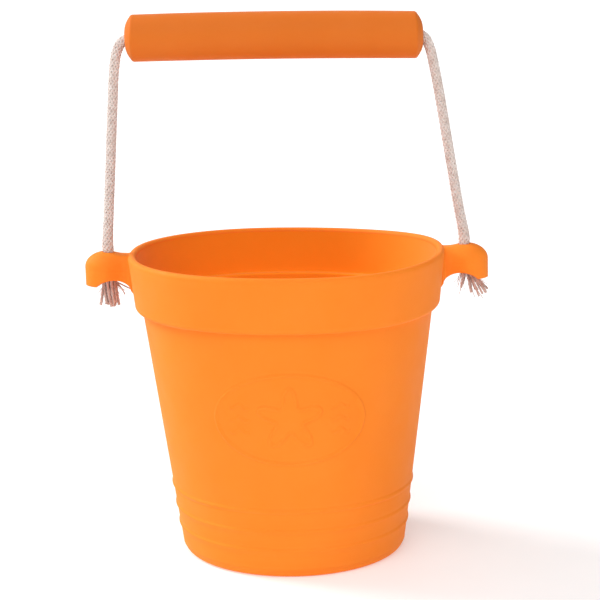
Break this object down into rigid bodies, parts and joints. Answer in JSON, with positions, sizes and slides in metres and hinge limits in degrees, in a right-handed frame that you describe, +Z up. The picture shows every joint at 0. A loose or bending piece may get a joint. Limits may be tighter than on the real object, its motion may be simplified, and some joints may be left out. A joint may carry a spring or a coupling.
{
  "type": "sand bucket",
  "caption": "Soft silicone sand bucket with a broad collar, moulded ears and a rope handle that swings on them, threaded through a loose tubular grip",
  "frame": {"origin": "Centre of the flat underside, on the surface that the bucket stands on", "axes": "+Z up along the bucket's axis, X through both ears and along the grip, -Y out through the raised badge on the front"},
  "size_m": [0.1794, 0.14, 0.24],
  "materials": {
    "orange_silicone": "matte, faintly translucent orange silicone",
    "orange_grip_silicone": "matte orange silicone, slightly deeper than the bucket",
    "cotton_rope": "natural off-white braided cotton rope",
    "frayed_cotton": "loose frayed cotton fibres"
  },
  "bodies": {
    "bucket": {"bucket_body": "orange_silicone", "rope_through_lug_left": "cotton_rope", "rope_through_lug_right": "cotton_rope", "knot_left": "cotton_rope", "knot_right": "cotton_rope", "frayed_tail_left": "frayed_cotton", "frayed_tail_right": "frayed_cotton"},
    "rope_handle": {"rope_loop": "cotton_rope"},
    "grip": {"handle_grip": "orange_grip_silicone"}
  },
  "joints": [
    {"name": "handle_swing", "type": "hinge", "parent": "bucket", "child": "rope_handle", "pos_m": [0, 0, 0.1384], "axis": [1, 0, 0], "range_deg": [-100, 100]},
    {"name": "grip_spin", "type": "hinge", "parent": "rope_handle", "child": "grip", "pos_m": [-0.0021, 0, 0.23], "axis": [1, 0, 0], "continuous": true}
  ]
}
